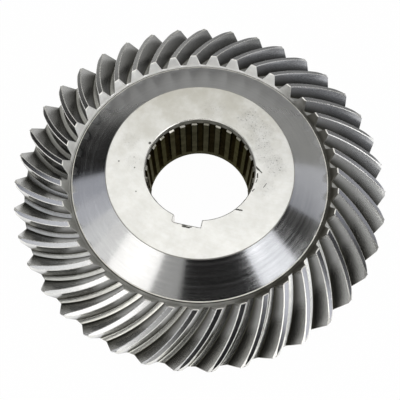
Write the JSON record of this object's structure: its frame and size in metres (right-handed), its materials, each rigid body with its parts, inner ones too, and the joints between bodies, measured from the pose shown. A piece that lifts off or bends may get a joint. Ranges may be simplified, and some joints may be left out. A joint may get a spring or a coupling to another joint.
{
  "type": "spiral bevel gear",
  "caption": "Spiral bevel gear with face-milled curved teeth, a turned cone up to a flat hub face, and a splined bore with a keyway and plain pilots at its ends.",
  "frame": {"origin": "on the axis of the bore, at the face of the boss on the back, which the gear stands on", "axes": "+Z along the bore from the back boss to the hub face; +X and +Y lie in the plane of the back face, with the keyway about 12 degrees from -Y towards -X"},
  "size_m": [0.2747, 0.2747, 0.057],
  "materials": {
    "steel": "machined steel: ground hub face, polished turned cone, semi-gloss cut teeth and a dark bore"
  },
  "bodies": {
    "root": {"bevel_gear": "steel"}
  },
  "joints": []
}
